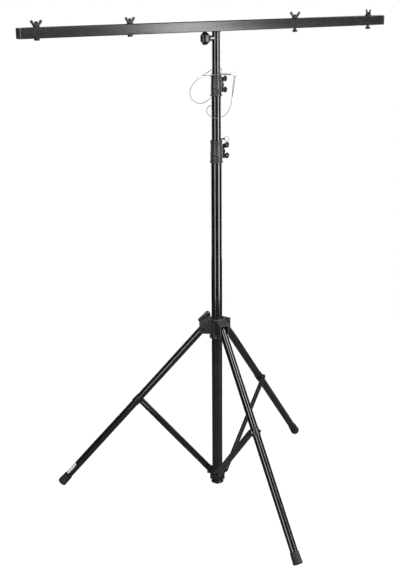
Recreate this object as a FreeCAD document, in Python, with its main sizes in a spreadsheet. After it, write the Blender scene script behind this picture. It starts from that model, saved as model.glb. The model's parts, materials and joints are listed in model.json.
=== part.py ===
"""Telescopic lighting stand: tripod base, three mast tubes and a T-bar with four light bolts.

Millimetres, +Z up. The origin is on the mast axis at floor level and the T-bar runs along X.
"""
import FreeCAD, Part
import math
import os
import Sketcher
from FreeCAD import Placement, Rotation, Vector

doc = FreeCAD.newDocument("LightingStand")

# ------------------------------------------------------------------ driving dimensions
DIMENSIONS = {
    # mast tubes: outer diameter, inner diameter, bottom and top heights
    "BaseOD": 35, "BaseID": 32, "BaseBottom": 34, "BaseTop": 1165,
    "MiddleOD": 30, "MiddleID": 27.6, "MiddleBottom": 250, "MiddleTop": 1366,
    "TopOD": 25.6, "TopID": 23, "TopBottom": 420, "TopTop": 1535,
    "SlideGap": 0.3, "GuideLength": 40, "LipThick": 4,
    # clamp collars
    "LowerCollarBottom": 1139.2, "UpperCollarBottom": 1344.8,
    "LowerCollarHeight": 67.6, "UpperCollarHeight": 62.2,
    "CupWall": 1.8, "CupHeight": 36, "NeckWall": 1.4, "BushWall": 1.6,
    "RimWidth": 1.1, "RimHeight": 4.6, "FootRimWidth": 2.2, "FootRimHeight": 6,
    "LowerScrewHeight": 1170, "UpperScrewHeight": 1376.2,
    "LowerScrewTurn": 22.6, "UpperScrewTurn": 30,
    "ScrewDia": 8, "ThreadGap": 0.1, "BossDia": 17, "BossReach": 27,
    # tripod: azimuth of the first leg and the linkage in its own upright plane
    "TripodTurn": 27, "LegAngle": 40.64, "HubPivotReach": 44.4, "HubPivotHeight": 590.6,
    "LegLength": 765.2, "LegOD": 25, "LegID": 22, "BraceOnLeg": 346,
    "BracketPivotReach": 28, "BracketPivotHeight": 70,
    "HubBottom": 557.4, "HubHeight": 67.8, "HubSleeveOD": 47, "HubGap": 1.3, "HubBushWall": 2,
    "ArmReach": 57, "ArmWidth": 33, "ArmSlot": 25.8, "ArmBottom": 573, "ArmTop": 622,
    "ArmSlopeStart": 30, "ArmSlope": 20,
    "HubScrewTurn": 104, "HubScrewHeight": 612, "HubBossReach": 40, "HandleRoll": 62,
    "BoltDia": 6, "BoltHeadDia": 11, "BoltHeadThick": 4, "BoltHole": 6.6, "FreeHole": 8.5,
    "LegHeadGap": 0.4, "BracketHeadGap": 1.2,
    "BraceWidth": 21, "BraceDepth": 6, "BraceWall": 1.5, "BraceInner": 14.5,
    "BracketBottom": 31, "BracketTop": 80, "BracketOD": 38.8, "BracketFlangeOD": 42,
    "EarThick": 3.6, "EarInner": 10, "EarReach": 36,
    "FootOD": 31.4, "FootTopOD": 29, "FootLength": 38, "FootSole": 7,
    "SaddleWall": 1.3, "SaddleLength": 26,
    # T-bar and what is bolted to it
    "BarLength": 1250, "BarSize": 30, "BarWall": 2, "BarUnder": 1539, "CapThick": 4,
    "OuterBolt": 570, "InnerBolt": 285, "LightBoltDia": 9.8, "LightBoltHole": 10.4,
    "LightBoltLength": 46, "LightHeadDia": 17, "LightHeadThick": 6, "LooseDrop": 6,
    "WasherDia": 21, "WasherThick": 1.5, "SpigotBottom": 1480, "SpigotFlangeDia": 30,
    "KnobDia": 38, "KnobThick": 22, "KnobCentre": 36.5, "KnobHeight": 1519,
    # safety pins and wire lanyard
    "UpperPinHeight": 1412.5, "UpperPinTurn": -60, "UpperPinReach": 56, "UpperPinDia": 5,
    "UpperPinTail": 17, "LowerPinTailGap": 0.5,
    "LowerPinHeight": 1213.5, "LowerPinTurn": -48, "LowerPinReach": 24, "LowerPinDia": 4,
    "WireDia": 2, "FerruleDia": 5.2, "FerruleLength": 12, "RingReach": 8,
}

sheet = doc.addObject("Spreadsheet::Sheet", "Dims")
for row, (alias, value) in enumerate(DIMENSIONS.items(), start=1):
    sheet.set(f"A{row}", alias)
    sheet.set(f"B{row}", str(value))
    sheet.setAlias(f"B{row}", alias)
doc.recompute()

NODES = []
X_AXIS, Y_AXIS, Z_AXIS = Vector(1, 0, 0), Vector(0, 1, 0), Vector(0, 0, 1)
ALONG = {
    "X": Rotation(Y_AXIS, 90),
    "Y": Rotation(X_AXIS, -90),
    "Z": Rotation(),
}


def dim(alias):
    return float(sheet.get(alias))


# ------------------------------------------------------------------ small modelling helpers
def bind(obj, **expressions):
    """Bind properties of an object to spreadsheet expressions."""
    for prop, expression in expressions.items():
        obj.setExpression(prop.replace("_", "."), expression)
    return obj


def place(obj, x="0", y="0", z="0"):
    for letter, expression in (("x", x), ("y", y), ("z", z)):
        obj.setExpression("Placement.Base." + letter, expression)
    return obj


def cylinder(name, diameter, height, x="0", y="0", z="0", along="Z"):
    obj = doc.addObject("Part::Cylinder", name)
    obj.Placement = Placement(Vector(), ALONG[along])
    bind(obj, Radius="(" + diameter + ") / 2", Height=height)
    return place(obj, x, y, z)


def cone(name, bottom, top, height, z="0"):
    obj = doc.addObject("Part::Cone", name)
    bind(obj, Radius1="(" + bottom + ") / 2", Radius2="(" + top + ") / 2", Height=height)
    return place(obj, z=z)


def box(name, length, width, height, x="0", y="0", z="0"):
    obj = doc.addObject("Part::Box", name)
    bind(obj, Length=length, Width=width, Height=height)
    return place(obj, x, y, z)


def fuse(name, *shapes):
    obj = doc.addObject("Part::MultiFuse", name)
    obj.Shapes = list(shapes)
    return obj


def cut(name, base, *tools):
    obj = doc.addObject("Part::Cut", name)
    obj.Base = base
    obj.Tool = tools[0] if len(tools) == 1 else fuse(name + "_tools", *tools)
    return obj


def ring(name, outer, inner, height, z="0"):
    """A tube standing on height z."""
    return cut(name, cylinder(name + "_outer", outer, height, z=z),
               cylinder(name + "_bore", inner, height + " + 2", z="(" + z + ") - 1"))


def group(name, *shapes):
    obj = doc.addObject("Part::Compound", name)
    obj.Links = list(shapes)
    return obj


def feature(name, shape):
    obj = doc.addObject("Part::Feature", name)
    obj.Shape = shape
    return obj


def node(obj, label, placement=None):
    """Register a finished sub-part under its own name."""
    obj.Label = label
    if placement is not None:
        obj.Placement = placement
    NODES.append(obj)
    return obj


def release(obj):
    """Free a child's position so that a whole Placement can be given to it."""
    for letter in "xyz":
        obj.setExpression("Placement.Base." + letter, None)
    return obj


def offset_out(placement, distance):
    """Move a radial frame outwards along its own Z."""
    return placement.multiply(Placement(Vector(0, 0, distance), Rotation()))


def radial_frame(azimuth, height):
    """Local Z points outwards along the azimuth, local X points up."""
    turn = Rotation(Z_AXIS, azimuth)
    return Placement(Vector(0, 0, height), turn.multiply(Rotation(Y_AXIS, 90)).multiply(
        Rotation(Z_AXIS, 180)))


# ------------------------------------------------------------------ sketch helpers
def origin_plane(body, role):
    return next(item for item in body.Origin.OriginFeatures if item.Role == role)


def sketch_on(body, name, role="XY_Plane"):
    sketch = body.newObject("Sketcher::SketchObject", name)
    sketch.AttachmentSupport = [(origin_plane(body, role), "")]
    sketch.MapMode = "FlatFace"
    return sketch


def sketch_circle(sketch, centre_x, radius, name, expression):
    """A circle on the sketch's X axis whose radius is bound to the sheet."""
    index = sketch.addGeometry(Part.Circle(Vector(centre_x, 0, 0), Z_AXIS, radius), False)
    sketch.addConstraint([Sketcher.Constraint("Radius", index, radius)])
    sketch.renameConstraint(sketch.ConstraintCount - 1, name)
    sketch.setExpression("Constraints." + name, expression)
    sketch.addConstraint([Sketcher.Constraint("DistanceY", -1, 1, index, 3, 0)])
    sketch.addConstraint([Sketcher.Constraint("DistanceX", -1, 1, index, 3, centre_x)])
    return index


# ------------------------------------------------------------------ mast tubes
def pin_hole(name, diameter, azimuth, height):
    """A drill right through the mast at an azimuth."""
    drill = release(cylinder(name, diameter, "120", along="X"))
    turn = Rotation(Z_AXIS, azimuth)
    drill.Placement = Placement(turn.multVec(Vector(-60, 0, 0)) + Vector(0, 0, height),
                                turn.multiply(ALONG["X"]))
    return drill


def mast_tubes():
    node(ring("base_shape", "Dims.BaseOD", "Dims.BaseID", "Dims.BaseTop - Dims.BaseBottom",
              "Dims.BaseBottom"), "base_tube")
    middle = ring("middle_shape", "Dims.MiddleOD", "Dims.MiddleID",
                  "Dims.MiddleTop - Dims.MiddleBottom", "Dims.MiddleBottom")
    drill = pin_hole("middle_drill", "Dims.LowerPinDia + 0.6", dim("LowerPinTurn"),
                     dim("LowerPinHeight"))
    node(cut("middle_drilled", middle, drill), "middle_tube")
    top = ring("top_shape", "Dims.TopOD", "Dims.TopID", "Dims.TopTop - Dims.TopBottom",
               "Dims.TopBottom")
    pin_drill = pin_hole("top_drill", "Dims.UpperPinDia + 0.6", dim("UpperPinTurn"),
                         dim("UpperPinHeight"))
    knob_drill = cylinder("knob_drill", "Dims.ScrewDia + 0.4", "20", x="-21",
                          z="Dims.KnobHeight", along="X")
    node(cut("top_drilled", top, pin_drill, knob_drill), "top_tube")


def guide(label, outer_tube_id, tube_od, tube_id, bottom):
    """Plastic slide bush pressed on the lower end of a telescoping tube."""
    outer = outer_tube_id + " - 2 * Dims.SlideGap"
    sleeve = ring(label + "_sleeve", outer, tube_od, "Dims.GuideLength", bottom)
    lip = ring(label + "_lip", outer, tube_id, "Dims.LipThick", bottom + " - Dims.LipThick")
    node(fuse(label + "_shape", sleeve, lip), label)


def base_plug():
    disc = cylinder("plug_disc", "Dims.BaseOD - 0.4", "3", z="Dims.BaseBottom - 3")
    spigot = cylinder("plug_spigot", "Dims.BaseID", "16", z="Dims.BaseBottom")
    node(fuse("plug_shape", disc, spigot), "base_plug")


# ------------------------------------------------------------------ clamp collars and wing screws
def collar(label, tube_od, tube_top, inner_od, bottom, height, screw_turn, screw_height):
    """Moulded collar: a cup over the lower tube, a neck round the bush, a boss for the screw."""
    cup_od = tube_od + " + 2 * Dims.CupWall"
    bush_od = "(" + inner_od + " + 2 * Dims.SlideGap + 2 * Dims.BushWall)"
    neck_od = "(" + bush_od + " + 2 * Dims.NeckWall)"
    top = "(" + bottom + " + " + height + ")"
    shoulder = bottom + " + Dims.CupHeight"
    outside = [
        cylinder(label + "_cup", cup_od, "Dims.CupHeight - 4", z=bottom),
        cone(label + "_shoulder", cup_od, neck_od, "4", z=shoulder + " - 4"),
        cylinder(label + "_neck", neck_od, height + " - Dims.CupHeight", z=shoulder),
        cone(label + "_flare", cup_od, cup_od + " + 2 * Dims.FootRimWidth",
             "Dims.FootRimHeight / 2", z=bottom),
        cone(label + "_flare_top", cup_od + " + 2 * Dims.FootRimWidth", cup_od,
             "Dims.FootRimHeight / 2", z=bottom + " + Dims.FootRimHeight / 2"),
        cylinder(label + "_rim", neck_od + " + 2 * Dims.RimWidth", "Dims.RimHeight",
                 z=top + " - Dims.RimHeight"),
    ]
    screw_frame = radial_frame(dim(screw_turn), dim(screw_height))
    boss = release(cylinder(label + "_boss", "Dims.BossDia", "Dims.BossReach - 12"))
    drill = release(cylinder(label + "_drill", "Dims.ScrewDia + 2 * Dims.ThreadGap", "40"))
    boss.Placement = offset_out(screw_frame, 12)
    drill.Placement = screw_frame
    tube_bore = cylinder(label + "_tube_bore", tube_od, tube_top + " - " + bottom + " + 1",
                         z=bottom + " - 1")
    bush_bore = cylinder(label + "_bush_bore", bush_od, height, z=tube_top)
    node(cut(label + "_shape", fuse(label + "_outside", *outside, boss), tube_bore, bush_bore,
             drill), label)
    bush = ring(label + "_bush_ring", bush_od, inner_od + " + 2 * Dims.SlideGap",
                top + " - " + tube_top, tube_top)
    lip = ring(label + "_bush_lip", neck_od, inner_od + " + 2 * Dims.SlideGap", "1.6", top)
    bush_drill = release(cylinder(label + "_bush_drill", "Dims.ScrewDia + 0.6", "40"))
    bush_drill.Placement = screw_frame
    node(cut(label + "_bush_shape", fuse(label + "_bush_solid", bush, lip), bush_drill),
         label + "_bush")


def slot_face(first, second, radius):
    """Outline of two equal circles joined by their tangents, in the XZ plane."""
    direction = second.sub(first).normalize()
    side = Y_AXIS.cross(direction).multiply(radius)
    reach = Vector(direction).multiply(radius)
    start = Part.Arc(first.add(side), first.sub(reach), first.sub(side)).toShape()
    end = Part.Arc(second.sub(side), second.add(reach), second.add(side)).toShape()
    lower = Part.LineSegment(first.sub(side), second.sub(side)).toShape()
    upper = Part.LineSegment(second.add(side), first.add(side)).toShape()
    return Part.Face(Part.Wire([start, lower, end, upper]))


def extruded(face, thickness):
    """Extrude a face in the XZ plane equally to both sides along Y."""
    solid = face.extrude(Vector(0, thickness, 0))
    solid.translate(Vector(0, -thickness / 2, 0))
    return solid


def wing_handle(inner, outer, radius, hole_radius, thickness):
    """Two rounded wings on either side of the screw axis (local Z), each with a small hole."""
    wings = []
    for sign in (-1, 1):
        first = Vector(sign * inner.x, 0, inner.z)
        second = Vector(sign * outer.x, 0, outer.z)
        loop = extruded(slot_face(first, second, radius), thickness)
        if hole_radius:
            edge = second.sub(Vector(second).sub(first).normalize())
            window = extruded(slot_face(edge, second, hole_radius), thickness + 2)
            loop = loop.cut(window)
        wings.append(loop)
    return wings


WING_INNER = Vector(9, 0, 37)
WING_OUTER = Vector(17, 0, 54)


def wing_screw(label, inner_od, turn, height):
    """Clamp screw with a two-winged handle; its tip bears on the sliding tube."""
    tip = dim(inner_od) / 2 + dim("SlideGap")
    shaft = Part.makeCylinder(dim("ScrewDia") / 2, 36 - tip, Vector(0, 0, tip))
    hub = Part.makeCone(7.5, 5.5, 12, Vector(0, 0, dim("BossReach") + 1))
    wings = wing_handle(WING_INNER, WING_OUTER, 7.8, 3, 6.4)
    solid = shaft.fuse([hub] + wings).removeSplitter()
    node(feature(label + "_shape", solid), label, radial_frame(dim(turn), dim(height)))


# ------------------------------------------------------------------ tripod
def arm_frame(index):
    return Placement(Vector(), Rotation(Z_AXIS, dim("TripodTurn") + 120 * index))


def leg_frame():
    """At the hub pivot, local Z up along the leg."""
    return Placement(Vector(dim("HubPivotReach"), 0, dim("HubPivotHeight")),
                     Rotation(Y_AXIS, -dim("LegAngle")))


def brace_pivots():
    """Upper and lower pivots of a brace in the arm's upright plane."""
    angle = math.radians(dim("LegAngle"))
    reach = dim("BraceOnLeg")
    upper = Vector(dim("HubPivotReach") + reach * math.sin(angle), 0,
                   dim("HubPivotHeight") - reach * math.cos(angle))
    lower = Vector(dim("BracketPivotReach"), 0, dim("BracketPivotHeight"))
    return lower, upper


def brace_frame():
    """At the lower pivot, local Z towards the pivot on the leg."""
    lower, upper = brace_pivots()
    run = upper.sub(lower)
    return Placement(lower, Rotation(Y_AXIS, math.degrees(math.atan2(run.x, run.z))))


def leg_tube(number, frame):
    name = f"leg{number}_tube"
    outer = cylinder(name + "_outer", "Dims.LegOD", "Dims.LegLength + 8", z="4 - Dims.LegLength")
    bore = cylinder(name + "_bore", "Dims.LegID", "Dims.LegLength + 10",
                    z="3 - Dims.LegLength")
    pivot = cylinder(name + "_pivot", "Dims.BoltHole", "40", y="-20", along="Y")
    mid = cylinder(name + "_mid", "Dims.BoltHole", "40", y="-20", z="-Dims.BraceOnLeg",
                   along="Y")
    node(cut(name + "_shape", outer, bore, pivot, mid), f"leg_tube_{number}", frame)


def leg_top_plug(number, frame):
    name = f"leg{number}_plug"
    head = cylinder(name + "_head", "Dims.LegOD", "2.5", z="12")
    spigot = cylinder(name + "_spigot", "Dims.LegID", "7", z="5")
    node(fuse(name + "_shape", head, spigot), f"leg_top_plug_{number}", frame)


def leg_foot(number, arm):
    """Rubber boot with a flat worn where it meets the floor."""
    name = f"leg{number}_foot"
    boot = doc.addObject("Part::Cone", name + "_boot")
    bind(boot, Radius1="Dims.FootOD / 2", Radius2="Dims.FootTopOD / 2",
         Height="Dims.FootLength")
    socket = doc.addObject("Part::Cylinder", name + "_socket")
    bind(socket, Radius="Dims.LegOD / 2", Height="Dims.FootLength")
    sole = dim("FootSole") - 4
    boot.Placement = leg_frame().multiply(
        Placement(Vector(0, 0, -dim("LegLength") - sole), Rotation()))
    socket.Placement = leg_frame().multiply(
        Placement(Vector(0, 0, 4 - dim("LegLength")), Rotation()))
    ground = box(name + "_ground", "120", "80", "40", x="Dims.LegLength * 0.6", y="-40", z="-40")
    node(cut(name + "_shape", boot, socket, ground), f"leg_foot_{number}", arm)


def leg_saddle(number, frame):
    name = f"leg{number}_saddle"
    band = ring(name + "_band", "Dims.LegOD + 2 * Dims.SaddleWall", "Dims.LegOD",
                "Dims.SaddleLength", "-Dims.BraceOnLeg - Dims.SaddleLength / 2")
    hole = cylinder(name + "_hole", "Dims.BoltHole", "40", y="-20", z="-Dims.BraceOnLeg",
                    along="Y")
    node(cut(name + "_shape", band, hole), f"leg_saddle_{number}", frame)


def cross_bolt(name, low, high, x="0", z="0"):
    """Bolt along Y from its head at low to a nut that ends at high, as two solids."""
    shank = cylinder(name + "_shank", "Dims.BoltDia", high + " - (" + low + ")", x, low, z, "Y")
    head = cylinder(name + "_head", "Dims.BoltHeadDia", "Dims.BoltHeadThick", x, low, z, "Y")
    bolt = fuse(name + "_bolt", shank, head)
    nut_start = high + " - Dims.BoltHeadThick - 1"
    blank = cylinder(name + "_blank", "Dims.BoltHeadDia", "Dims.BoltHeadThick", x, nut_start, z,
                     "Y")
    thread = cylinder(name + "_thread", "Dims.BoltDia + 2 * Dims.ThreadGap", "20", x,
                      nut_start + " - 5", z, "Y")
    return bolt, cut(name + "_nut", blank, thread)


def leg_bolt(number, frame):
    low = "-Dims.BraceInner - Dims.BraceDepth - Dims.LegHeadGap - Dims.BoltHeadThick"
    high = "Dims.LegOD / 2 + Dims.SaddleWall + Dims.BoltHeadThick + 1"
    bolt, nut = cross_bolt(f"leg{number}_bolt", low, high, z="-Dims.BraceOnLeg")
    node(group(f"leg{number}_bolt_set", bolt, nut), f"leg_bolt_{number}", frame)


def brace(number, frame):
    """Shallow stamped channel with rounded ends, web outwards."""
    name = f"brace{number}"
    low = "-Dims.BraceInner - Dims.BraceDepth"
    lower, upper = brace_pivots()
    span = str(upper.sub(lower).Length)

    def blank(tag, width, depth, y):
        return fuse(name + tag,
                    box(name + tag + "_bar", width, depth, span, "-(" + width + ") / 2", y),
                    cylinder(name + tag + "_low", width, depth, y=y, along="Y"),
                    cylinder(name + tag + "_high", width, depth, y=y, z=span, along="Y"))

    outside = blank("_outside", "Dims.BraceWidth", "Dims.BraceDepth", low)
    hollow = blank("_hollow", "Dims.BraceWidth - 2 * Dims.BraceWall", "Dims.BraceDepth",
                   low + " + Dims.BraceWall")
    free = cylinder(name + "_free", "Dims.FreeHole", "20", y=low + " - 2", along="Y")
    hole = cylinder(name + "_hole", "Dims.BoltHole", "20", y=low + " - 2", z=span, along="Y")
    node(cut(name + "_shape", outside, hollow, free, hole), f"brace_{number}", frame)


def hub():
    """Sliding collar with three forked arms that hold the tops of the legs."""
    pieces = [cylinder("hub_sleeve", "Dims.HubSleeveOD", "Dims.HubHeight", z="Dims.HubBottom")]
    slots = []
    for index in range(3):
        arm = box(f"hub_arm{index}", "Dims.ArmReach", "Dims.ArmWidth",
                  "Dims.ArmTop - Dims.ArmBottom")
        slot = box(f"hub_slot{index}", "80", "Dims.ArmSlot",
                   "Dims.HubPivotHeight + 20 - Dims.ArmBottom + 10")
        pivot = cylinder(f"hub_pivot{index}", "Dims.BoltDia + 0.2", "60", along="Y")
        for obj in (arm, slot, pivot):
            release(obj)
        frame = arm_frame(index)
        arm.Placement = frame.multiply(Placement(
            Vector(0, -dim("ArmWidth") / 2, dim("ArmBottom")), Rotation()))
        slot.Placement = frame.multiply(Placement(
            Vector(dim("HubPivotReach") - 20, -dim("ArmSlot") / 2, dim("ArmBottom") - 10),
            Rotation()))
        pivot.Placement = frame.multiply(Placement(
            Vector(dim("HubPivotReach"), -30, dim("HubPivotHeight")), ALONG["Y"]))
        slope = release(box(f"hub_slope{index}", "60", "Dims.ArmWidth + 2", "20"))
        slope.Placement = frame.multiply(Placement(
            Vector(dim("ArmSlopeStart"), -dim("ArmWidth") / 2 - 1, dim("ArmTop")),
            Rotation(Y_AXIS, dim("ArmSlope"))))
        pieces.append(arm)
        slots += [slot, pivot, slope]
    boss = release(cylinder("hub_boss", "Dims.BossDia", "Dims.HubBossReach - 20"))
    drill = release(cylinder("hub_drill", "Dims.ScrewDia + 2 * Dims.ThreadGap", "60"))
    screw_frame = radial_frame(dim("HubScrewTurn"), dim("HubScrewHeight"))
    boss.Placement = offset_out(screw_frame, 20)
    drill.Placement = screw_frame
    bush_od = "Dims.BaseOD + 2 * Dims.HubGap + 2 * Dims.HubBushWall"
    bore = cylinder("hub_bore", bush_od, "Dims.HubHeight + 2", z="Dims.HubBottom - 1")
    node(cut("hub_shape", fuse("hub_solid", *pieces, boss), *slots, drill, bore), "hub")
    liner = ring("hub_liner", bush_od, "Dims.BaseOD + 2 * Dims.HubGap", "Dims.HubHeight",
                 "Dims.HubBottom")
    liner_drill = release(cylinder("hub_liner_drill", "Dims.ScrewDia + 0.6", "60"))
    liner_drill.Placement = screw_frame
    node(cut("hub_bush_shape", liner, liner_drill), "hub_bush")


def hub_bolts():
    solids = []
    for index in range(3):
        bolt, nut = cross_bolt(f"hub_bolt{index}", "-Dims.ArmWidth / 2 - Dims.BoltHeadThick",
                               "Dims.ArmWidth / 2 + Dims.BoltHeadThick + 1",
                               "Dims.HubPivotReach", "Dims.HubPivotHeight")
        pair = group(f"hub_bolt_pair{index}", bolt, nut)
        pair.Placement = arm_frame(index)
        solids.append(pair)
    node(group("hub_bolt_set", *solids), "hub_bolts")


def hub_knob():
    """T-handle clamp screw on the hub."""
    tip = dim("BaseOD") / 2 + dim("HubGap")
    reach = dim("HubBossReach")
    stud = Part.makeCylinder(dim("ScrewDia") / 2, reach + 18 - tip, Vector(0, 0, tip))
    frame = radial_frame(dim("HubScrewTurn"), dim("HubScrewHeight"))
    node(feature("hub_screw_shape", stud), "hub_screw", frame)
    neck = Part.makeCone(8, 6.5, 12, Vector(0, 0, reach + 2))
    bar = Part.makeBox(44, 18, 15, Vector(-22, -9, reach + 13))
    bar = bar.makeFillet(4, bar.Edges)
    socket = Part.makeCylinder(dim("ScrewDia") / 2, reach + 18, Vector())
    handle = neck.fuse(bar).cut(socket)
    handle.rotate(Vector(), Z_AXIS, dim("HandleRoll"))
    node(feature("hub_knob_shape", handle), "hub_knob", frame)


def lower_bracket():
    """Fixed bracket on the foot of the mast with one ear for each brace."""
    pieces = [
        cylinder("bracket_sleeve", "Dims.BracketOD", "Dims.BracketTop - Dims.BracketBottom",
                 z="Dims.BracketBottom"),
        cylinder("bracket_flange", "Dims.BracketFlangeOD", "6", z="Dims.BracketBottom"),
    ]
    holes = [cylinder("bracket_bore", "Dims.BaseOD", "100", z="Dims.BracketBottom - 1")]
    side = -dim("EarInner") - dim("EarThick")
    for index in range(3):
        frame = arm_frame(index)
        ear = box(f"bracket_ear{index}", "Dims.EarReach - 15", "Dims.EarThick", "30")
        web = box(f"bracket_web{index}", "11", "Dims.EarThick", "30")
        hole = cylinder(f"bracket_hole{index}", "Dims.BoltHole", "20", along="Y")
        for obj in (ear, web, hole):
            release(obj)
        ear.Placement = frame.multiply(Placement(Vector(15, side, 54), Rotation()))
        web.Placement = frame.multiply(
            Placement(Vector(15, side, dim("BracketBottom") + 2), Rotation()))
        hole.Placement = frame.multiply(Placement(
            Vector(dim("BracketPivotReach"), side - 5, dim("BracketPivotHeight")), ALONG["Y"]))
        pieces += [ear, web]
        holes.append(hole)
    node(cut("bracket_shape", fuse("bracket_solid", *pieces), *holes), "lower_bracket")


def bracket_bolts():
    solids = []
    for index in range(3):
        low = "-Dims.BraceInner - Dims.BraceDepth - Dims.BracketHeadGap - Dims.BoltHeadThick"
        bolt, nut = cross_bolt(f"bracket_bolt{index}", low,
                               "-Dims.EarInner + Dims.BoltHeadThick + 1",
                               "Dims.BracketPivotReach", "Dims.BracketPivotHeight")
        pair = group(f"bracket_bolt_pair{index}", bolt, nut)
        pair.Placement = arm_frame(index)
        solids.append(pair)
    node(group("bracket_bolt_set", *solids), "bracket_bolts")


# ------------------------------------------------------------------ T-bar
BOLT_PLACES = (-1, -0.5, 0.5, 1)


def rounded_bar(name, size, length, radius):
    """Square bar along X, centred on the T-bar's axis, with rounded long edges."""
    block = box(name + "_block", length, size, size, "-(" + length + ") / 2",
                "-(" + size + ") / 2", "Dims.BarUnder + (Dims.BarSize - (" + size + ")) / 2")
    doc.recompute()
    rounded = doc.addObject("Part::Fillet", name)
    rounded.Base = block
    long_edges = [number for number, edge in enumerate(block.Shape.Edges, start=1)
                  if abs(edge.tangentAt(0).x) > 0.99]
    rounded.Edges = [(number, radius, radius) for number in long_edges]
    return rounded


def t_bar():
    outer = rounded_bar("bar_outer", "Dims.BarSize", "Dims.BarLength - 2 * Dims.CapThick", 2.5)
    inner = rounded_bar("bar_inner", "Dims.BarSize - 2 * Dims.BarWall", "Dims.BarLength", 1.2)
    holes = [cylinder(f"bar_hole{number}", "Dims.LightBoltHole", "Dims.BarSize + 2",
                      x=f"{step} * Dims.OuterBolt", z="Dims.BarUnder - 1")
             for number, step in enumerate(BOLT_PLACES)]
    node(cut("bar_shape", outer, inner, *holes), "t_bar")


def end_cap(label, sign):
    plate = rounded_bar(label + "_plate", "Dims.BarSize", "Dims.CapThick", 2.5)
    plug = rounded_bar(label + "_plug", "Dims.BarSize - 2 * Dims.BarWall", "14", 1.2)
    half = dim("BarLength") / 2
    plate.Placement = Placement(Vector(sign * (half - dim("CapThick") / 2), 0, 0), Rotation())
    plug.Placement = Placement(Vector(sign * (half - dim("CapThick") - 7), 0, 0), Rotation())
    node(fuse(label + "_shape", plate, plug), label)


def spigot():
    peg = cylinder("spigot_peg", "Dims.TopID - 2 * Dims.SlideGap",
                   "Dims.BarUnder - 1 - Dims.SpigotBottom", z="Dims.SpigotBottom")
    flange = cylinder("spigot_flange", "Dims.SpigotFlangeDia", "2.5", z="Dims.BarUnder - 2.5")
    node(fuse("spigot_shape", peg, flange), "t_bar_spigot")


def light_bolts():
    """Four bolts up through the bar; the two on the right hang loose by a few millimetres."""
    bolts, washers = [], []
    for number, step in enumerate(BOLT_PLACES):
        drop = " - Dims.LooseDrop" if step > 0 else ""
        place_x = f"{step} * Dims.OuterBolt"
        head_low = "Dims.BarUnder - Dims.LightHeadThick" + drop
        head = cylinder(f"light_head{number}", "Dims.LightHeadDia", "Dims.LightHeadThick",
                        x=place_x, z=head_low)
        shank = cylinder(f"light_shank{number}", "Dims.LightBoltDia",
                         "Dims.LightBoltLength + Dims.LightHeadThick", x=place_x, z=head_low)
        bolts.append(fuse(f"light_bolt{number}", head, shank))
        washer = ring(f"washer{number}", "Dims.WasherDia", "Dims.LightBoltDia + 0.4",
                      "Dims.WasherThick", "Dims.BarUnder + Dims.BarSize")
        washer.Placement = Placement(Vector(step * dim("OuterBolt"), 0, 0), Rotation())
        washers.append(washer)
    node(group("light_bolt_set", *bolts), "light_bolts")
    node(group("washer_set", *washers), "bolt_washers")


NUT_TURNS = (0, 12, -8, 78)


def wing_nuts():
    seat = dim("BarUnder") + dim("BarSize") + dim("WasherThick") + 0.1
    for number, step in enumerate(BOLT_PLACES):
        hub_shape = Part.makeCone(9.5, 7.5, 10)
        wings = wing_handle(Vector(6.5, 0, 5), Vector(13.5, 0, 15), 4.2, 0, 4)
        bore = Part.makeCylinder(dim("LightBoltDia") / 2 + dim("ThreadGap"), 40, Vector(0, 0, -5))
        nut = hub_shape.fuse(wings).cut(bore)
        placement = Placement(Vector(step * dim("OuterBolt"), 0, seat),
                              Rotation(Z_AXIS, NUT_TURNS[number]))
        node(feature(f"wing_nut_shape{number}", nut), f"wing_nut_{number + 1}", placement)


def knob_boss():
    """Nut block welded to the top tube for the T-bar knob."""
    block = cylinder("boss_block", "Dims.BossDia - 1", "15", x="-25", z="Dims.KnobHeight",
                     along="X")
    tube = cylinder("boss_tube", "Dims.TopOD", "60", z="Dims.KnobHeight - 30")
    thread = cylinder("boss_thread", "Dims.ScrewDia + 2 * Dims.ThreadGap", "40", x="-40",
                      z="Dims.KnobHeight", along="X")
    node(cut("boss_shape", block, tube, thread), "knob_boss")


def t_bar_knob():
    """Lobed hand knob: a disc with scallops cut round its rim."""
    body = doc.addObject("PartDesign::Body", "KnobBody")
    disc = sketch_on(body, "KnobDisc")
    sketch_circle(disc, 0, dim("KnobDia") / 2, "knob_radius", "Dims.KnobDia / 2")
    pad = body.newObject("PartDesign::Pad", "KnobPad")
    pad.Profile = disc
    pad.setExpression("Length", "Dims.KnobThick")
    doc.recompute()
    full = body.Shape.Volume
    scallop = sketch_on(body, "KnobScallop")
    sketch_circle(scallop, dim("KnobDia") / 2 + 2.5, 5, "scallop_radius", "Dims.KnobDia / 7.6")
    pocket = body.newObject("PartDesign::Pocket", "KnobPocket")
    pocket.Profile = scallop
    pocket.Type = 1
    pocket.Reversed = True
    doc.recompute()
    pattern = body.newObject("PartDesign::PolarPattern", "KnobPattern")
    pattern.Originals = [pocket]
    pattern.Axis = (scallop, ["N_Axis"])
    pattern.Angle = 360
    pattern.Occurrences = 6
    body.Tip = pattern
    doc.recompute()
    print("knob volume before and after scallops", round(full), round(body.Shape.Volume))
    outward = Placement(Vector(0, 0, dim("KnobHeight")), Rotation(Y_AXIS, -90))
    node(body, "t_bar_knob", offset_out(outward, dim("KnobCentre") - dim("KnobThick") / 2))
    tip = dim("TopID") / 2 + 0.2
    shaft = Part.makeCylinder(dim("ScrewDia") / 2, dim("KnobCentre") - dim("KnobThick") / 2 - tip,
                              Vector(0, 0, tip))
    node(feature("knob_screw_shape", shaft), "knob_screw", outward)


# ------------------------------------------------------------------ safety pins and lanyard
EYE_END_GAP = 0.7


def pin_frame(turn, height):
    return Placement(Vector(0, 0, dim(height)), Rotation(Z_AXIS, dim(turn)).multiply(ALONG["X"]))


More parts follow.
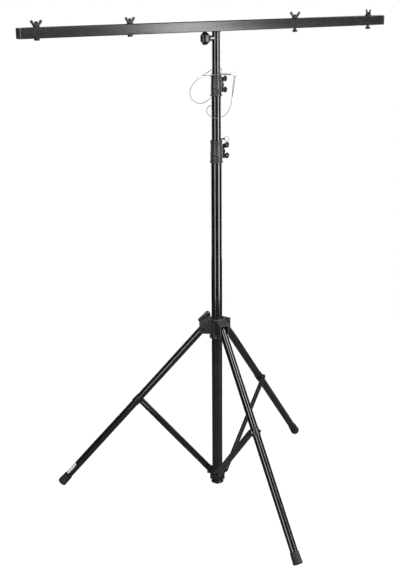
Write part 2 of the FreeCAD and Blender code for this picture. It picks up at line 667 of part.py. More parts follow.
def safety_pin(label, turn, height, reach, diameter, tail):
    """Straight pin with an eye on its outer end and a split ring; its tip is tail past the axis."""
    frame = pin_frame(turn, height)
    radius = dim(diameter) / 2
    rod = Part.makeCylinder(radius, dim(reach) + tail, Vector(0, 0, -tail))
    eye = Part.makeCylinder(5, 4, Vector(2, 0, dim(reach)), X_AXIS.negative())
    eye_hole = Part.makeCylinder(2.4, 10, Vector(5, 0, dim(reach) + 1), X_AXIS.negative())
    node(feature(label + "_shape", rod.fuse(eye).cut(eye_hole)), label, frame)
    ring_centre = Vector(0, 0, dim(reach) + 1 + dim("RingReach"))
    loop = Part.makeTorus(dim("RingReach"), dim("WireDia") / 2, ring_centre, Y_AXIS)
    node(feature(label + "_ring_shape", loop), label + "_ring", frame)


def swept_wire(path, diameter):
    """A round wire along straight runs and arcs."""
    wire = Part.Wire(path)
    first = path[0]
    tangent = first.tangentAt(first.FirstParameter)
    start = first.valueAt(first.FirstParameter)
    section = Part.Wire([Part.makeCircle(diameter / 2, start, tangent)])
    return wire.makePipeShell([section], True, False), wire.Length


def eye_loop(tip_radius, depth, diameter):
    """Teardrop eye in the XZ plane: round the origin and back to two ends at z = -depth."""
    half = diameter * 0.55
    reach = math.hypot(half, depth)
    swing = math.acos(tip_radius / reach) + math.atan2(half, depth)
    right = Vector(tip_radius * math.sin(math.pi - swing), 0,
                   tip_radius * math.cos(math.pi - swing))
    left = Vector(-right.x, 0, right.z)
    top = Vector(0, 0, tip_radius)
    path = [
        Part.LineSegment(Vector(-half, 0, -depth), left).toShape(),
        Part.Arc(left, top, right).toShape(),
        Part.LineSegment(right, Vector(half, 0, -depth)).toShape(),
    ]
    return swept_wire(path, diameter)[0]


def frame_between(origin, z_direction, x_hint):
    """Placement whose Z follows one direction and whose X leans towards another."""
    return Placement(origin, Rotation(x_hint, Vector(), z_direction, "ZXY"))


# The wire's route: from the ferrule beside the mast, down and round behind it, through a small
# loose curl, across the front and up to the ferrule below the upper pin's ring.
MAST_FERRULE_START = Vector(-38.0, 17.0, 1407.0)
MAST_FERRULE_END = Vector(-47.1, 21.0, 1400.4)
WIRE_END = Vector(26.7, -49.7, 1331.0)
PIN_FERRULE_END = Vector(26.72, -49.72, 1331.5)
PIN_FERRULE_START = Vector(27.3, -50.2, 1343.0)
ROUTE = [
    MAST_FERRULE_END,
    Vector(-62, 27.5, 1388), Vector(-72, 37, 1366), Vector(-68, 44, 1341),
    Vector(-47, 45, 1321), Vector(-21, 43, 1319), Vector(1, 41, 1332),
    Vector(15, 38, 1341), Vector(24, 33.5, 1331), Vector(14, 33, 1315),
    Vector(-7, 33.5, 1311), Vector(-25, 21, 1302), Vector(-31.5, -3, 1290),
    Vector(-23, -24, 1281), Vector(-6, -37, 1282), Vector(10, -44.5, 1293),
    Vector(21, -48, 1310), WIRE_END,
]


def rounded_path(points):
    """Straight runs joined by tangent arcs as large as the runs allow."""
    edges, cursor, radii = [], points[0], []
    for before, corner, after in zip(points, points[1:], points[2:]):
        incoming, outgoing = corner.sub(before), after.sub(corner)
        turn = incoming.getAngle(outgoing)
        setback = 0.45 * min(incoming.Length, outgoing.Length)
        radii.append(setback / math.tan(turn / 2))
        start = corner.sub(Vector(incoming).normalize().multiply(setback))
        end = corner.add(Vector(outgoing).normalize().multiply(setback))
        inward = start.add(end).multiply(0.5).sub(corner)
        bulge = radii[-1] * (1 / math.cos(turn / 2) - 1)
        middle = corner.add(Vector(inward).normalize().multiply(bulge))
        edges.append(Part.LineSegment(cursor, start).toShape())
        edges.append(Part.Arc(start, middle, end).toShape())
        cursor = end
    edges.append(Part.LineSegment(cursor, points[-1]).toShape())
    print("lanyard radii", [round(radius, 1) for radius in radii])
    return edges


def ferrule(label, start, end):
    tube = Part.makeCylinder(dim("FerruleDia") / 2, end.sub(start).Length, start, end.sub(start))
    node(feature(label + "_shape", tube), label)


def lanyard():
    wire, length = swept_wire(rounded_path(ROUTE), dim("WireDia"))
    section = math.pi * dim("WireDia") ** 2 / 4
    print("lanyard length", round(length, 1), "volume ratio",
          round(wire.Volume / (section * length), 4))
    node(feature("lanyard_shape", wire), "lanyard_wire")
    ferrule("mast_ferrule", MAST_FERRULE_START, MAST_FERRULE_END)
    ferrule("pin_ferrule", PIN_FERRULE_START, PIN_FERRULE_END)
    mast_centre = Vector(0, 0, 1420)
    to_mast = mast_centre.sub(MAST_FERRULE_START)
    across = Vector(0.49, 0.87, 0.6)
    across = across.sub(Vector(to_mast).multiply(across.dot(to_mast) / to_mast.dot(to_mast)))
    eye = eye_loop(17.5, to_mast.Length - EYE_END_GAP, dim("WireDia"))
    node(feature("mast_eye_shape", eye), "mast_eye",
         frame_between(mast_centre, to_mast, across))
    outward = Rotation(Z_AXIS, dim("UpperPinTurn")).multVec(X_AXIS)
    ring_low = Vector(outward).multiply(dim("UpperPinReach") + 1 + dim("RingReach"))
    ring_low = ring_low.add(Vector(0, 0, dim("UpperPinHeight") - dim("RingReach")))
    run = ring_low.sub(PIN_FERRULE_START)
    sideways = Z_AXIS.cross(outward)
    node(feature("pin_eye_shape", eye_loop(4, run.Length, dim("WireDia"))), "pin_eye",
         frame_between(ring_low, run, sideways))


# ------------------------------------------------------------------ build everything
def build():
    mast_tubes()
    base_plug()
    guide("middle_guide", "Dims.BaseID", "Dims.MiddleOD", "Dims.MiddleID", "Dims.MiddleBottom")
    guide("top_guide", "Dims.MiddleID", "Dims.TopOD", "Dims.TopID", "Dims.TopBottom")
    collar("lower_collar", "Dims.BaseOD", "Dims.BaseTop", "Dims.MiddleOD",
           "Dims.LowerCollarBottom", "Dims.LowerCollarHeight", "LowerScrewTurn",
           "LowerScrewHeight")
    collar("upper_collar", "Dims.MiddleOD", "Dims.MiddleTop", "Dims.TopOD",
           "Dims.UpperCollarBottom", "Dims.UpperCollarHeight", "UpperScrewTurn",
           "UpperScrewHeight")
    wing_screw("lower_wing_screw", "MiddleOD", "LowerScrewTurn", "LowerScrewHeight")
    wing_screw("upper_wing_screw", "TopOD", "UpperScrewTurn", "UpperScrewHeight")
    hub()
    hub_bolts()
    hub_knob()
    lower_bracket()
    bracket_bolts()
    for index in range(3):
        number = index + 1
        arm = arm_frame(index)
        along_leg = arm.multiply(leg_frame())
        leg_tube(number, along_leg)
        leg_top_plug(number, along_leg)
        leg_foot(number, arm)
        leg_saddle(number, along_leg)
        leg_bolt(number, along_leg)
        brace(number, arm.multiply(brace_frame()))
    t_bar()
    end_cap("end_cap_left", -1)
    end_cap("end_cap_right", 1)
    spigot()
    light_bolts()
    wing_nuts()
    knob_boss()
    t_bar_knob()
    safety_pin("upper_pin", "UpperPinTurn", "UpperPinHeight", "UpperPinReach", "UpperPinDia",
               dim("UpperPinTail"))
    safety_pin("lower_pin", "LowerPinTurn", "LowerPinHeight", "LowerPinReach", "LowerPinDia",
               -dim("TopOD") / 2 - dim("LowerPinTailGap"))
    lanyard()
    doc.recompute()


def export():
    for obj in doc.Objects:
        if "Invalid" in obj.State or "Error" in obj.State:
            raise RuntimeError(f"{obj.Name} failed: {obj.State}")
    os.makedirs("parts", exist_ok=True)
    for obj in NODES:
        shape = obj.Shape
        if shape.isNull() or not shape.isValid() or not shape.Solids:
            raise RuntimeError(f"{obj.Label} has no valid solid")
        shape.exportStep(f"parts/{obj.Label}.step")
    print(len(NODES), "nodes written")


build()
export()
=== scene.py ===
"""Looks of the telescopic lighting stand: finishes, moulded pieces, wire lanyard, camera, light."""
import bmesh
import bpy
import json
import math
from mathutils import Matrix, Vector


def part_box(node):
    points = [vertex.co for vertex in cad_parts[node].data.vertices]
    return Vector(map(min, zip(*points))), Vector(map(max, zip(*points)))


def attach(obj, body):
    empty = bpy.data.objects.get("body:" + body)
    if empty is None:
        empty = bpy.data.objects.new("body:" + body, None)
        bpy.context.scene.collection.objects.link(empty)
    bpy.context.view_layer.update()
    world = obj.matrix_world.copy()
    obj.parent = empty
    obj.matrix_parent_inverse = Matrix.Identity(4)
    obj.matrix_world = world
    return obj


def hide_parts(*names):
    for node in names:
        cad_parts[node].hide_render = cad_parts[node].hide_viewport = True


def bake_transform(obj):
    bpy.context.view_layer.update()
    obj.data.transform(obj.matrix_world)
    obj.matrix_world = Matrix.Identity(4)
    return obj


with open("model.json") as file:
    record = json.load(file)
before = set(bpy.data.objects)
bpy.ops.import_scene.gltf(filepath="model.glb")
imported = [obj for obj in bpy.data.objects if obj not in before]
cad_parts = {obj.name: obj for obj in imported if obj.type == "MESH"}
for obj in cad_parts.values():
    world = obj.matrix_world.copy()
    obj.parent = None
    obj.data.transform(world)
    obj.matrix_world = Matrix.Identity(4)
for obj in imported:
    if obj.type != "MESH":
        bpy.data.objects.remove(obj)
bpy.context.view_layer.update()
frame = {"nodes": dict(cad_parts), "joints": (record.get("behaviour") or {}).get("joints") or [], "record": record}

MM = 0.001
RECORD = frame["record"]
SLOT = {entry["node"]: entry["material_slot"] for entry in RECORD["subparts"]}
BODY = {node: body for body, nodes in RECORD["behaviour"]["bodies"].items() for node in nodes}
JOINT = {joint["name"]: joint for joint in frame["joints"]}
UP = Vector((0, 0, 1))


# ------------------------------------------------------------------ places read from the frame
def joint_place(name):
    return Vector(JOINT[name]["pos_m"])


def joint_axis(name):
    return Vector(JOINT[name]["axis"]).normalized()


def box_radius(node):
    """Half the width of a round node, in millimetres."""
    low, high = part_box(node)
    return (high.x - low.x) / 2 / MM


def axes(origin, x_axis, z_axis):
    """Placement for pieces modelled in millimetres: X and Z directions and an origin in metres."""
    z_axis = z_axis.normalized()
    x_axis = (x_axis - z_axis * x_axis.dot(z_axis)).normalized()
    y_axis = z_axis.cross(x_axis)
    turn = Matrix((x_axis, y_axis, z_axis)).transposed().to_4x4()
    return Matrix.Translation(origin) @ turn @ Matrix.Scale(MM, 4)


def radial(joint_name):
    """On the mast axis at a screw's height: Z outwards along the screw, X up."""
    return axes(Vector((0, 0, joint_place(joint_name).z)), UP, joint_axis(joint_name))


# ------------------------------------------------------------------ finishes
class Finish:
    """A small builder for one procedural material."""

    def __init__(self, name):
        self.material = bpy.data.materials.new(name)
        self.material.use_nodes = True
        self.tree = self.material.node_tree
        self.shader = self.tree.nodes["Principled BSDF"]
        coordinates = self.tree.nodes.new("ShaderNodeTexCoord")
        self.place = coordinates.outputs["Object"]

    def set(self, **sockets):
        for name, value in sockets.items():
            self.shader.inputs[name.replace("_", " ")].default_value = value
        return self

    def noise(self, scale, detail=4.0, stretch=(1, 1, 1)):
        """A noise whose features are about 1 / scale metres across."""
        mapping = self.tree.nodes.new("ShaderNodeMapping")
        mapping.inputs["Scale"].default_value = stretch
        self.tree.links.new(self.place, mapping.inputs["Vector"])
        texture = self.tree.nodes.new("ShaderNodeTexNoise")
        texture.inputs["Scale"].default_value = scale
        texture.inputs["Detail"].default_value = detail
        self.tree.links.new(mapping.outputs["Vector"], texture.inputs["Vector"])
        return texture.outputs["Fac"]

    def colour(self, dark, light, source, low=0.3, high=0.7):
        ramp = self.tree.nodes.new("ShaderNodeValToRGB")
        ramp.color_ramp.elements[0].position = low
        ramp.color_ramp.elements[0].color = (*dark, 1)
        ramp.color_ramp.elements[1].position = high
        ramp.color_ramp.elements[1].color = (*light, 1)
        self.tree.links.new(source, ramp.inputs["Fac"])
        self.tree.links.new(ramp.outputs["Color"], self.shader.inputs["Base Color"])
        return self

    def roughness(self, low, high, source):
        spread = self.tree.nodes.new("ShaderNodeMapRange")
        spread.inputs["From Min"].default_value = 0.3
        spread.inputs["From Max"].default_value = 0.7
        spread.inputs["To Min"].default_value = low
        spread.inputs["To Max"].default_value = high
        self.tree.links.new(source, spread.inputs["Value"])
        self.tree.links.new(spread.outputs["Result"], self.shader.inputs["Roughness"])
        return self

    def bump(self, depth_mm, *sources):
        """Relief of each source, one on top of the other."""
        below = None
        for source in sources:
            bump = self.tree.nodes.new("ShaderNodeBump")
            bump.inputs["Distance"].default_value = depth_mm * MM
            bump.inputs["Strength"].default_value = 1.0
            self.tree.links.new(source, bump.inputs["Height"])
            if below:
                self.tree.links.new(below, bump.inputs["Normal"])
            below = bump.outputs["Normal"]
        self.tree.links.new(below, self.shader.inputs["Normal"])
        return self


ALONG_MAST = (1, 1, 0.04)


def gloss_black_tube():
    """Gloss powder coat, with long rubbed streaks where tubes slide."""
    finish = Finish("gloss_black_coat").set(Coat_Weight=0.35, Coat_Roughness=0.08)
    finish.colour((0.004, 0.004, 0.0045), (0.011, 0.011, 0.012), finish.noise(35))
    finish.roughness(0.09, 0.13, finish.noise(60, 3, ALONG_MAST))
    return finish.material


def satin_black_bar():
    """Satin powder coat, a little warm and slightly uneven in tone."""
    finish = Finish("satin_black_coat").set(Specular_IOR_Level=0.55)
    finish.colour((0.013, 0.0118, 0.0105), (0.021, 0.0193, 0.0175), finish.noise(60))
    finish.roughness(0.3, 0.36, finish.noise(40, 3, (0.08, 1, 1)))
    return finish.material


def grey_moulding():
    """Glass-filled nylon: dark grey with a fine spark-eroded grain and flow marks."""
    finish = Finish("dark_grey_moulding")
    finish.colour((0.013, 0.013, 0.0148), (0.023, 0.023, 0.026), finish.noise(180, 6))
    finish.roughness(0.34, 0.52, finish.noise(90, 6))
    return finish.bump(0.008, finish.noise(900, 3)).material


def black_moulding():
    """Black knobs and caps: smoother than the collars."""
    finish = Finish("black_moulding")
    finish.colour((0.004, 0.004, 0.0042), (0.009, 0.009, 0.0095), finish.noise(150, 5))
    finish.roughness(0.27, 0.42, finish.noise(120, 6))
    return finish.bump(0.006, finish.noise(900, 3)).material


def natural_nylon():
    """Uncoloured slide bushes: creamy and slightly translucent."""
    finish = Finish("natural_nylon").set(Subsurface_Weight=0.15)
    finish.colour((0.62, 0.6, 0.54), (0.74, 0.73, 0.68), finish.noise(120))
    finish.roughness(0.4, 0.55, finish.noise(200))
    return finish.bump(0.02, finish.noise(1600)).material


def foot_rubber():
    """Matt rubber with scuffed, slightly dusty patches."""
    finish = Finish("foot_rubber")
    finish.colour((0.007, 0.007, 0.007), (0.022, 0.021, 0.02), finish.noise(260, 8), 0.4, 0.75)
    finish.roughness(0.55, 0.85, finish.noise(170, 6))
    return finish.bump(0.06, finish.noise(1200, 4), finish.noise(320, 3)).material


def black_oxide():
    """Blackened steel fasteners with brighter rubbed spots."""
    finish = Finish("black_oxide_steel").set(Metallic=0.75)
    finish.colour((0.018, 0.017, 0.016), (0.085, 0.08, 0.073), finish.noise(420, 8), 0.45, 0.8)
    finish.roughness(0.26, 0.46, finish.noise(300, 6))
    return finish.bump(0.02, finish.noise(1400, 3)).material


def bright_steel():
    """Plated pins and ferrules with fine wear."""
    finish = Finish("bright_plated_steel").set(Metallic=0.55)
    finish.colour((0.5, 0.5, 0.49), (0.78, 0.78, 0.77), finish.noise(300, 6))
    finish.roughness(0.25, 0.4, finish.noise(500, 6))
    return finish.bump(0.01, finish.noise(2200, 3)).material


def steel_wire():
    """Dull stranded wire of the lanyard."""
    finish = Finish("stranded_steel").set(Metallic=0.3)
    finish.colour((0.13, 0.13, 0.125), (0.2, 0.2, 0.195), finish.noise(200, 2))
    finish.roughness(0.35, 0.5, finish.noise(900, 4))
    return finish.bump(0.002, finish.noise(1500, 2)).material


def pale_label():
    """Plain paper label, a little yellowed and scuffed."""
    finish = Finish("plain_label").set(Specular_IOR_Level=0.35)
    finish.colour((0.5, 0.5, 0.49), (0.82, 0.82, 0.8), finish.noise(220, 7), 0.3, 0.55)
    finish.roughness(0.4, 0.6, finish.noise(300, 5))
    return finish.bump(0.01, finish.noise(1500, 3)).material


FINISHES = {
    "black_tube": gloss_black_tube(),
    "black_bar": satin_black_bar(),
    "dark_plastic": grey_moulding(),
    "black_plastic": black_moulding(),
    "natural_plastic": natural_nylon(),
    "rubber_foot": foot_rubber(),
    "black_fastener": black_oxide(),
    "bright_steel": bright_steel(),
    "steel_wire": steel_wire(),
}


# ------------------------------------------------------------------ mesh helpers
def shaded(mesh, sharp_angle=38):
    mesh.shade_smooth()
    mesh.set_sharp_from_angle(angle=math.radians(sharp_angle))
    return mesh


def skin(rings, joined=False):
    """Quads between closed rings of points; the two ends are capped, or joined to each other."""
    bm = bmesh.new()
    loops = [[bm.verts.new(point) for point in ring] for ring in rings]
    pairs = list(zip(loops, loops[1:]))
    if joined:
        pairs.append((loops[-1], loops[0]))
    for first, second in pairs:
        count = len(first)
        for i in range(count):
            bm.faces.new((first[i], first[(i + 1) % count], second[(i + 1) % count], second[i]))
    if not joined:
        bm.faces.new(reversed(loops[0]))
        bm.faces.new(loops[-1])
    bmesh.ops.recalc_face_normals(bm, faces=bm.faces)
    mesh = bpy.data.meshes.new("skin")
    bm.to_mesh(mesh)
    bm.free()
    return mesh


def softened(points, radius, closed=False, steps=3):
    """A profile with its corners rounded, each by an arc no larger than its runs allow."""
    count = len(points)
    rounded = []
    for i, point in enumerate(points):
        corner = Vector(point)
        if not closed and i in (0, count - 1):
            rounded.append(corner)
            continue
        before = Vector(points[i - 1]) - corner
        after = Vector(points[(i + 1) % count]) - corner
        setback = min(radius, 0.45 * before.length, 0.45 * after.length)
        start = corner + before.normalized() * setback
        end = corner + after.normalized() * setback
        for step in range(steps + 1):
            t = step / steps
            rounded.append(start * (1 - t) ** 2 + corner * 2 * t * (1 - t) + end * t ** 2)
    return rounded


def lathe(profile, steps=72, relief=None, joined=False):
    """Turn a profile of (radius, z) about Z; relief(angle, radius, z) raises the surface."""
    rings = []
    for radius, z in profile:
        ring = []
        for step in range(steps):
            angle = math.tau * step / steps
            reach = radius + (relief(angle, radius, z) if relief else 0)
            ring.append(Vector((reach * math.cos(angle), reach * math.sin(angle), z)))
        rings.append(ring)
    return skin(rings, joined)


def hexagonal(across, chamfer):
    """Relief that turns a round of that many millimetres across corners into a hexagon."""
    def relief(angle, radius, z):
        flat = across / 2 * math.cos(math.pi / 6)
        side = flat / math.cos((angle % (math.pi / 3)) - math.pi / 6)
        return min(0, side - radius) if radius > flat - chamfer else 0
    return relief


def joined_meshes(*meshes):
    """Several meshes as the separate shells of one."""
    bm = bmesh.new()
    for mesh in meshes:
        bm.from_mesh(mesh)
    mesh = bpy.data.meshes.new("joined")
    bm.to_mesh(mesh)
    bm.free()
    return mesh


def with_modifiers(mesh, *modifiers):
    """The mesh after a stack of (type, settings) modifiers."""
    holder = bpy.data.objects.new("holder", mesh)
    bpy.context.scene.collection.objects.link(holder)
    for kind, settings in modifiers:
        modifier = holder.modifiers.new(kind, kind)
        for key, value in settings.items():
            setattr(modifier, key, value)
    bpy.context.view_layer.update()
    evaluated = holder.evaluated_get(bpy.context.evaluated_depsgraph_get())
    result = bpy.data.meshes.new_from_object(evaluated)
    bpy.data.objects.remove(holder)
    return result


def moulded(meshes, voxel, passes=6, keep=0.5):
    """Melt overlapping shells into one skin with soft corners, as a moulding or casting has."""
    return with_modifiers(
        joined_meshes(*meshes),
        ("REMESH", {"mode": "VOXEL", "voxel_size": voxel, "adaptivity": 0}),
        ("SMOOTH", {"factor": 0.5, "iterations": passes}),
        ("DECIMATE", {"ratio": keep}),
    )


def united(first, second):
    """Boolean union of two closed meshes."""
    other = bpy.data.objects.new("other", second)
    bpy.context.scene.collection.objects.link(other)
    result = with_modifiers(
        first, ("BOOLEAN", {"operation": "UNION", "object": other, "solver": "EXACT"}))
    bpy.data.objects.remove(other)
    return result


def evenly(path, spacing):
    """Points a fixed distance apart along a path."""
    points = [path[0].copy()]
    carried = 0.0
    for start, end in zip(path, path[1:]):
        run = (end - start).length
        while carried + run >= spacing:
            share = (spacing - carried) / run
            start = start.lerp(end, share)
            points.append(start)
            run *= 1 - share
            carried = 0.0
        carried += run
    if (points[-1] - path[-1]).length > spacing * 0.3:
        points.append(path[-1].copy())
    return points


def swept(path, section, twist=0.0, closed=False):
    """Carry section(turn) -> [(u, v)] along a path without rolling, then twist it per metre."""
    tangents = []
    last = len(path) - 1
    for i in range(len(path)):
        ahead = path[(i + 1) % len(path)] if closed else path[min(i + 1, last)]
        behind = path[i - 1] if closed or i else path[0]
        tangents.append((ahead - behind).normalized())
    side = tangents[0].orthogonal().normalized()
    rings, travelled = [], 0.0
    for i, (point, tangent) in enumerate(zip(path, tangents)):
        if i:
            side = tangents[i - 1].rotation_difference(tangent) @ side
            travelled += (point - path[i - 1]).length
        other = tangent.cross(side)
        rings.append([point + side * u + other * v for u, v in section(travelled * twist)])
    return skin(rings, joined=closed)


def round_section(radius, sides=12):
    return [(radius * math.cos(math.tau * k / sides), radius * math.sin(math.tau * k / sides))
            for k in range(sides)]


# ------------------------------------------------------------------ showing pieces
def add_piece(name, mesh, nodes, placement=None, slot=None, sharp_angle=38):
    """Show a mesh in place of CAD nodes, on their body and with their finish."""
    if placement is not None:
        mesh.transform(placement)
    obj = bpy.data.objects.new(name, shaded(mesh, sharp_angle))
    bpy.context.scene.collection.objects.link(obj)
    slot = slot or SLOT[nodes[0]]
    mesh.materials.clear()
    mesh.materials.append(FINISHES[slot])
    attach(obj, BODY[nodes[0]])
    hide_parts(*nodes)
    return obj


EDGE_WIDTH = 0.35 * MM
WELD_DISTANCE = 1e-6


def keeps_its_mesh(name):
    """Round tubes stay as they are, because dissolved faces would bend their long highlights."""
    return SLOT[name] == "black_tube" and not name.startswith("brace")


def dress_cad_node(name):
    """Give a CAD node that stays its finish and softly broken edges."""
    obj = frame["nodes"][name]
    obj.data.materials.clear()
    obj.data.materials.append(FINISHES[SLOT[name]])
    shaded(obj.data)
    if keeps_its_mesh(name):
        return
    weld = obj.modifiers.new("weld", "WELD")
    weld.merge_threshold = WELD_DISTANCE
    flats = obj.modifiers.new("flats", "DECIMATE")
    flats.decimate_type = "DISSOLVE"
    flats.angle_limit = math.radians(0.5)
    bevel = obj.modifiers.new("bevel", "BEVEL")
    bevel.width = EDGE_WIDTH
    bevel.segments = 2
    bevel.limit_method = "ANGLE"
    bevel.angle_limit = math.radians(50)
    bevel.harden_normals = True


# ------------------------------------------------------------------ clamp collars
ARCH_AZIMUTH = math.radians(-119)
ARCH_HALF_WIDTH, ARCH_SPRING, ARCH_FOOT = 6.2, 19.0, 6.5
ARCH_RIDGE, ARCH_RECESS = 1.1, 0.55
NECK_WALL, CUP_WALL, CUP_HEIGHT, RIM_WIDTH = 1.4, 1.8, 36, 1.1


def arch_relief(angle, radius, z):
    """Raised arch with a sunk panel inside it, on the front of the cup."""
    if radius < NECK_WALL or not ARCH_FOOT < z < CUP_HEIGHT - 4:
        return 0
    turn = (angle - ARCH_AZIMUTH + math.pi) % math.tau - math.pi
    sideways = radius * turn
    if abs(sideways) > 2 * ARCH_HALF_WIDTH:
        return 0
    above = max(0.0, z - ARCH_SPRING)
    distance = math.hypot(sideways, above) - ARCH_HALF_WIDTH
    ridge = ARCH_RIDGE * math.exp(-(distance / 0.9) ** 2)
    recess = ARCH_RECESS / (1 + math.exp(2.5 * (distance + 1.6)))
    ends = min(1.0, (z - ARCH_FOOT) / 1.5)
    return (ridge - recess) * ends


def collar(name, tube, screw_joint):
    """Moulded clamp collar: a flared cup with an arch, a neck, a rim and a boss for the screw."""
    low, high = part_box(name)
    height = (high.z - low.z) / MM
    step = (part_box(tube)[1].z - low.z) / MM
    bore = box_radius(tube) + 0.05
    cup = box_radius(tube) + CUP_WALL
    neck = box_radius(name + "_bush")
    rim = neck + RIM_WIDTH
    outside = [(cup + 1.5, 0), (cup + 2.2, 1.4), (cup + 2.2, 3.8), (cup + 0.1, 6.3)]
    outside += [(cup, 6.5 + 0.75 * k) for k in range(33)]
    outside += [(neck + 0.2, 36), (neck, 39), (neck, height - 6), (rim, height - 4.6),
                (rim, height - 0.1)]
    inside = [(neck - NECK_WALL, height - 0.1), (neck - NECK_WALL, step), (bore, step), (bore, 0)]

    def outer_relief(angle, radius, z):
        return arch_relief(angle, radius, z) if radius >= cup - 0.2 and z < CUP_HEIGHT else 0

    shell = lathe(softened(outside + inside, 0.7, closed=True, steps=2), 168, outer_relief, True)
    shell.transform(Matrix.Translation((0, 0, low.z)) @ Matrix.Scale(MM, 4))
    start = bore - 1.0
    boss = lathe(softened([(0.2, start), (8.4, start), (8.7, 19), (8.4, 25.4), (7.4, 27),
                           (0.2, 27)], 1.0), 48)
    boss.transform(radial(screw_joint))
    return add_piece(name + "_moulding", united(shell, boss), [name])


# ------------------------------------------------------------------ screws, knobs and nuts
# A wing's tip lies WING_HEIGHT beside the screw's axis and WING_REACH out from the mast's.
WING_HEIGHT, WING_REACH = 17.0, 55.0
WING_RADIUS, WING_HALF_THICKNESS = 9.3, 3.5
HOLE_RADIUS = 3.2
WING_ROOT_HEIGHT, WING_ROOT_REACH = 14.5, 29
SCREW_RADIUS, SCREW_PITCH = 4.0, 1.25


def planar_loop(centre, radius, half_width, half_thickness, sides=16, steps=40):
    """Rounded ring in the XZ plane; its thickness is along Y."""
    rings = []
    for step in range(steps):
        angle = math.tau * step / steps
        outward = Vector((math.cos(angle), 0, math.sin(angle)))
        rings.append([centre + outward * (radius + half_width * math.cos(math.tau * k / sides))
                      + Vector((0, half_thickness * math.sin(math.tau * k / sides), 0))
                      for k in range(sides)])
    return skin(rings, joined=True)


def spindle(path, radii, flatness, sides=24, squareness=1.0):
    """Solid through a few centres with its own radius at each, flattened along Y."""
    rings = []
    for i, (point, radius) in enumerate(zip(path, radii)):
        ahead, behind = path[min(i + 1, len(path) - 1)], path[max(i - 1, 0)]
        tangent = (ahead - behind).normalized()
        across = Vector((tangent.z, 0, -tangent.x))
        ring = []
        for k in range(sides):
            c, s = math.cos(math.tau * k / sides), math.sin(math.tau * k / sides)
            sideways = across * math.copysign(abs(c) ** squareness, c) * radius
            deep = math.copysign(abs(s) ** squareness, s) * radius * flatness
            ring.append(point + sideways + Vector((0, deep, 0)))
        rings.append(ring)
    return skin(rings)


def wing_screw(name, joint_name, inner_tube):
    """Clamp screw with two thick rounded wings, each with a small hole, on a fluted hub."""
    tip = box_radius(inner_tube) + 0.3
    flutes = lathe(softened([(0.2, 28), (9.2, 28), (9.4, 31), (8.4, 36.5), (5.5, 39), (0.2, 39.5)],
                            1.2), 48,
                   lambda angle, radius, z: -0.35 * (1 + math.cos(12 * angle)) * (radius > 4))
    shapes = [flutes]
    middle = WING_RADIUS - HOLE_RADIUS
    for sign in (-1, 1):
        tip_centre = Vector((sign * WING_HEIGHT, 0, WING_REACH))
        root = Vector((sign * WING_ROOT_HEIGHT, 0, WING_ROOT_REACH))
        neck = root.lerp(tip_centre, 0.5)
        shapes.append(planar_loop(tip_centre, HOLE_RADIUS + middle / 2, middle / 2,
                                  WING_HALF_THICKNESS))
        near = tip_centre + (root - tip_centre).normalized() * (HOLE_RADIUS + 1.2)
        web = [root, root.lerp(neck, 0.5), neck, neck.lerp(near, 0.6), near]
        shapes.append(spindle(web, (6.5, 7.6, 7.8, 7.4, 5.4), 0.42, squareness=0.75))
    handle = moulded(shapes, 0.5, 3, 0.4)
    thread = threaded(SCREW_RADIUS, SCREW_PITCH, tip, 30)
    return add_piece(name + "_handle", joined_meshes(handle, thread), [name],
                     radial(joint_name), sharp_angle=60)


def threaded(radius, pitch, low, high, sides=24, depth=0.35):
    """Round bar with a helical thread."""
    rings = []
    rows = max(2, round((high - low) / (pitch / 5)))
    for row in range(rows + 1):
        z = low + (high - low) * row / rows
        fade = min(1.0, row / 5, (rows - row) / 5)
        ring = []
        for k in range(sides):
            angle = math.tau * k / sides
            phase = (z / pitch - k / sides) % 1.0
            reach = radius - depth * (0.5 - 0.5 * math.cos(math.tau * phase)) - 0.5 * (1 - fade)
            ring.append(Vector((reach * math.cos(angle), reach * math.sin(angle), z)))
        rings.append(ring)
    return skin(rings)


NUT_TURNS = (0, 12, -8, 78)


def wing_nut(number):
    """Cast wing nut: flanged cone with two ears that end in round tips."""
    name = f"wing_nut_{number}"
    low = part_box(name)[0]
    cone = lathe(softened([(5.2, 0), (9.3, 0), (9.3, 1.6), (8.3, 3), (7.4, 9.4), (5.2, 10)], 0.8,
                          closed=True), 56, joined=True)
    shapes = [cone]
    for sign in (-1, 1):
        spine = [Vector((sign * x, 0, z)) for x, z in
                 ((5.5, 2.4), (7.2, 4.9), (9.4, 7.8), (11.4, 10.8), (12.9, 13.0), (14.0, 14.8),
                  (15.0, 16.5), (15.7, 17.7))]
        shapes.append(spindle(spine, (2.6, 4.2, 4.0, 3.9, 4.4, 4.6, 3.8, 1.6), 0.56))
    nut = moulded(shapes, 0.42, 4, 0.45)
    turn = Matrix.Rotation(math.radians(NUT_TURNS[number - 1]), 4, "Z")
    centre = joint_place(f"wing_nut_{number}_turn")
    placement = Matrix.Translation((centre.x, centre.y, low.z)) @ turn @ Matrix.Scale(MM, 4)
    return add_piece(name + "_casting", nut, [name], placement, sharp_angle=60)


KNOB_REACH = 19.3


def lobed_knob():
    """Six-lobed hand knob on the T-bar's clamp screw."""
    low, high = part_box("t_bar_knob")
    thickness = (high.x - low.x) / MM

    def lobes(angle, radius, z):
        return -1.5 * (1 - math.cos(6 * angle)) * (radius / KNOB_REACH) ** 3

    profile = [(0.3, 0), (12.6, 0), (13.8, 1.0), (15.8, 3.4), (KNOB_REACH - 1.0, 6.2),
               (KNOB_REACH, 8.5), (KNOB_REACH, thickness - 4.4),
               (KNOB_REACH - 1.0, thickness - 2.0), (KNOB_REACH - 4.0, thickness - 0.6),
               (9.5, thickness - 0.3), (8.8, thickness - 1.5), (0.3, thickness - 1.5)]
    knob = lathe(softened(profile, 1.4, steps=4), 120, lobes)
    placement = axes(Vector((high.x, 0, (low.z + high.z) / 2)), UP, Vector((-1, 0, 0)))
    return add_piece("t_bar_knob_moulding", knob, ["t_bar_knob"], placement, sharp_angle=50)


